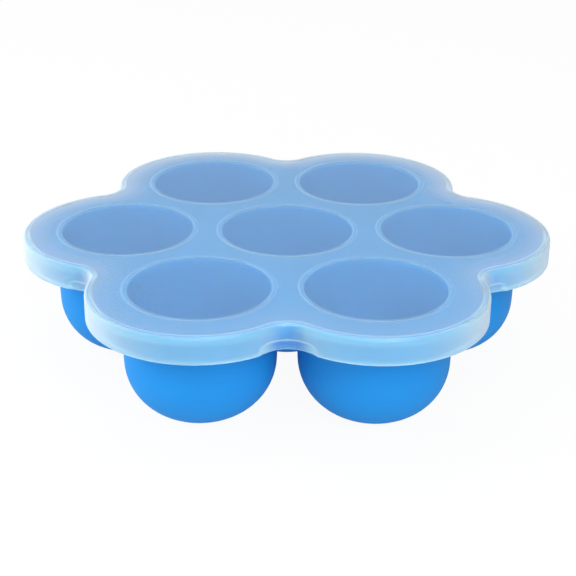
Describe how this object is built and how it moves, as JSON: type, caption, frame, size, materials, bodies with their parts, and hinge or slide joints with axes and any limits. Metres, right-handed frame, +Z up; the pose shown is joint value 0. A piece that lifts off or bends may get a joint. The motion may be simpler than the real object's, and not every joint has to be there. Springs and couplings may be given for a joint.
{
  "type": "baby food freezer tray",
  "caption": "Flower-shaped soft tray of round cups with a flat flange, under a frosted cap lid with a skirt over its rim.",
  "frame": {"origin": "middle of the centre cup's flat base, on the surface the tray stands on", "axes": "+Z up, out of the cups; +X through the middle of one outer cup"},
  "size_m": [0.2064, 0.1896, 0.049],
  "materials": {
    "tray": "satin blue silicone",
    "lid": "frosted translucent white silicone"
  },
  "bodies": {
    "tray": {"tray": "tray"},
    "lid": {"lid": "lid"}
  },
  "joints": [
    {"name": "lid_lift", "type": "slide", "parent": "tray", "child": "lid", "axis": [0, 0, 1], "range_m": [0, 0.15]}
  ]
}
